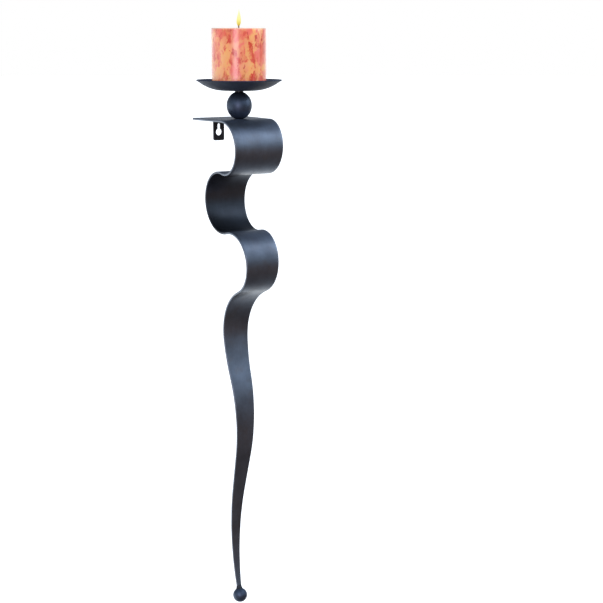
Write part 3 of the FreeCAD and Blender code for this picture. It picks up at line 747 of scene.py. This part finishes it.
def make_floor():
    """Pale floor under the tail ball, which shines so that it has no edge against the background."""
    recipe = Recipe("pale_floor")
    grain = recipe.noise(recipe.coords(), 3.0, 2.0)
    tone = recipe.ramp(grain, (0.0, 0.9), (1.0, 0.95))
    material = recipe.finish(Base_Color=tone, Roughness=0.9, Emission_Color=FLOOR_GLOW,
                             Emission_Strength=1.0)
    bm = bmesh.new()
    bmesh.ops.create_circle(bm, cap_ends=True, segments=96, radius=FLOOR_RADIUS)
    floor = make_object("floor", bm, material, smooth=False)
    floor.location.z = CAD_BOX[0].z - FLOOR_DROP
    floor.visible_glossy = False
    floor.visible_diffuse = False


# What the metal mirrors, by height from straight down (0) to straight up (1): the room in front of
# the wall, which is dim and brown at eye level, and the wall side behind, which is pale. One gives way
# to the other between ROOM_END and WALL_START, by how far a direction points into the wall.
ROOM_SIDE = ((0.0, (0.12, 0.125, 0.135)), (0.12, (0.085, 0.070, 0.062)), (0.25, (0.094, 0.056, 0.038)),
             (0.46, (0.128, 0.074, 0.048)), (0.54, (0.17, 0.19, 0.20)), (0.60, (0.30, 0.35, 0.39)),
             (0.66, (0.50, 0.57, 0.63)), (0.82, (0.38, 0.46, 0.58)), (0.92, (0.22, 0.27, 0.34)),
             (1.0, (0.15, 0.18, 0.23)))
WALL_SIDE = ((0.0, (0.20, 0.20, 0.20)), (0.12, (0.70, 0.72, 0.72)), (0.30, (0.95, 0.98, 0.98)),
             (0.50, (0.66, 0.67, 0.68)), (0.60, (0.20, 0.21, 0.22)), (0.78, (0.12, 0.14, 0.18)),
             (1.0, (0.15, 0.18, 0.23)))
ROOM_END, WALL_START = -0.15, 0.45
WORLD_STRENGTH = 2.0


def mirrored_room(add, join):
    """Colour that lies in each direction: ROOM_SIDE in front, WALL_SIDE behind."""
    way = add("ShaderNodeTexCoord")
    split = add("ShaderNodeSeparateXYZ")
    join(way.outputs["Generated"], split.inputs["Vector"])
    height = add("ShaderNodeMapRange")
    height.inputs["From Min"].default_value = -1.0
    join(split.outputs["Z"], height.inputs["Value"])
    depth = add("ShaderNodeMapRange")
    depth.inputs["From Min"].default_value = ROOM_END
    depth.inputs["From Max"].default_value = WALL_START
    join(split.outputs["Y"], depth.inputs["Value"])
    sides = add("ShaderNodeMix")
    sides.data_type = "RGBA"
    join(depth.outputs["Result"], sides.inputs[MIX_FACTOR])
    for stops, number in ((ROOM_SIDE, MIX_FIRST), (WALL_SIDE, MIX_SECOND)):
        ramp = add("ShaderNodeValToRGB")
        set_stops(ramp, stops)
        join(height.outputs["Result"], ramp.inputs["Fac"])
        join(ramp.outputs["Color"], sides.inputs[number])
    return sides.outputs[MIX_RESULT]


def make_world():
    """White to the eye; reflections and light come from the mirrored room."""
    world = bpy.data.worlds.new("studio")
    bpy.context.scene.world = world
    world.use_nodes = True
    tree = world.node_tree
    tree.nodes.clear()
    add, join = tree.nodes.new, tree.links.new
    mirrored = add("ShaderNodeBackground")
    mirrored.inputs["Strength"].default_value = WORLD_STRENGTH
    join(mirrored_room(add, join), mirrored.inputs["Color"])
    seen = add("ShaderNodeBackground")
    seen.inputs["Color"].default_value = (1, 1, 1, 1)
    path = add("ShaderNodeLightPath")
    mixed = add("ShaderNodeMixShader")
    join(path.outputs["Is Camera Ray"], mixed.inputs["Fac"])
    for number, source in ((1, mirrored), (2, seen)):
        join(source.outputs["Background"], mixed.inputs[number])
    out = add("ShaderNodeOutputWorld")
    join(mixed.outputs["Shader"], out.inputs["Surface"])


def add_softbox(name, azimuth, elevation, distance, size, power, colour):
    """Area light aimed at the curls. Azimuth 0 is straight in front, positive to the right."""
    curls = Vector((0, STACK_AXIS.y, BAR_BOX[1].z - 0.1))
    light = bpy.data.lights.new(name, "AREA")
    light.shape = "RECTANGLE"
    light.size, light.size_y = size
    light.energy = power
    light.color = colour
    item = bpy.data.objects.new(name, light)
    bpy.context.scene.collection.objects.link(item)
    side, lift = math.radians(azimuth), math.radians(elevation)
    way = Vector((math.sin(side) * math.cos(lift), -math.cos(side) * math.cos(lift), math.sin(lift)))
    item.location = curls + way * distance
    item.rotation_euler = way.to_track_quat("Z", "Y").to_euler()
    item.visible_camera = False


# Sensor and lens in mm, place in metres, yaw to the right and pitch down in degrees.
CAMERA_SENSOR, CAMERA_LENS = 36.0, 89.55224
CAMERA_X, CAMERA_Y, CAMERA_ABOVE_SHELF = -1.0615, -1.8921, 0.1188
CAMERA_YAW, CAMERA_PITCH = 32.46, 10.16


def add_camera():
    """Long lens in front of the sconce, to its left and above its shelf, looking slightly down."""
    camera = bpy.data.objects.new("camera", bpy.data.cameras.new("camera"))
    bpy.context.scene.collection.objects.link(camera)
    camera.data.sensor_width = CAMERA_SENSOR
    camera.data.lens = CAMERA_LENS
    camera.location = (CAMERA_X, CAMERA_Y, BAR_BOX[1].z + CAMERA_ABOVE_SHELF)
    yaw, pitch = math.radians(CAMERA_YAW), math.radians(CAMERA_PITCH)
    ahead = Vector((math.sin(yaw) * math.cos(pitch), math.cos(yaw) * math.cos(pitch), -math.sin(pitch)))
    camera.rotation_euler = ahead.to_track_quat("-Z", "Y").to_euler()
    bpy.context.scene.camera = camera


# ---------------------------------------------------------------- assembly

def paint_node(name, material):
    """Give a CAD node its finished material."""
    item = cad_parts[name]
    item.data.materials.clear()
    item.data.materials.append(material)
    for polygon in item.data.polygons:
        polygon.material_index = 0


def fit(piece, body, slot, *nodes):
    """Ride a piece on its body in place of the CAD nodes that it stands for."""
    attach(piece, body)
    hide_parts(*nodes)


def set_stage():
    """Camera, surroundings, floor and two soft lights."""
    bpy.context.scene.view_settings.view_transform = "Standard"
    add_camera()
    make_world()
    make_floor()
    add_softbox("key_softbox", azimuth=60.0, elevation=33.0, distance=0.75, size=(0.40, 0.40),
                power=1.5, colour=(0.90, 0.95, 1.0))
    add_softbox("left_window", azimuth=-43.0, elevation=4.0, distance=2.6, size=(1.0, 1.2),
                power=21.0, colour=(1.0, 0.85, 0.96))


def build_bracket():
    """Bar, tab, welds, stud and nut in place of their CAD nodes; paint on the turned pieces."""
    bar_paint = satin_paint("bar_satin_paint", (1.0, 1.0, 1.0), 0.35, 0.9, on_bar=True)
    ball_paint = satin_paint("ball_satin_paint", (0.44, 0.51, 0.61), 0.42, 0.8)
    dish_paint = satin_paint("dish_satin_paint", (0.34, 0.40, 0.50), 0.60, 0.6)
    small_black = black_paint("small_black_paint")
    steel = plated_steel("turned_steel", (0.45, 0.46, 0.48), 0.6)
    zinc = plated_steel("zinc_plate", (0.55, 0.55, 0.52), 0.75)
    fit(make_bar(bar_paint), "bracket", "bar_finish", "ribbon_strip")
    fit(make_tab(small_black), "bracket", "tab_finish", "hanger_tab")
    fit(make_tab_weld(small_black), "bracket", "weld_finish", "tab_weld")
    fit(make_tail_weld(small_black), "bracket", "weld_finish", "tail_weld")
    fit(make_stud(steel), "bracket", "stud_steel", "pricket_stud")
    fit(make_nut(zinc), "bracket", "fastener_zinc", "stud_nut")
    paint_node("drip_dish", dish_paint)
    paint_node("spacer_ball", ball_paint)
    paint_node("tail_ball", ball_paint)
    paint_node("dish_washer", small_black)
    paint_node("lock_washer", plated_steel("spring_steel", (0.30, 0.30, 0.31), 0.7))


def build_candle():
    """Wax and wick in place of their CAD nodes, and a flame that rides with them."""
    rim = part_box("candle_wax")[1].z
    wick_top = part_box("candle_wick")[1].z
    flame_foot, flame_top = rim + 2.0 * MM, rim + 27.0 * MM
    cotton = charred_cotton("charred_cotton", rim - 2 * MM, wick_top)
    fit(make_wax(marbled_wax("marbled_wax", rim)), "candle", "wax", "candle_wax")
    fit(make_wick(cotton), "candle", "wick_cotton", "candle_wick")
    flame = make_flame(flame_glow("flame_glow", flame_foot, flame_top), flame_foot, flame_top)
    flame.visible_shadow = False
    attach(flame, "candle")


set_stage()
build_bracket()
build_candle()
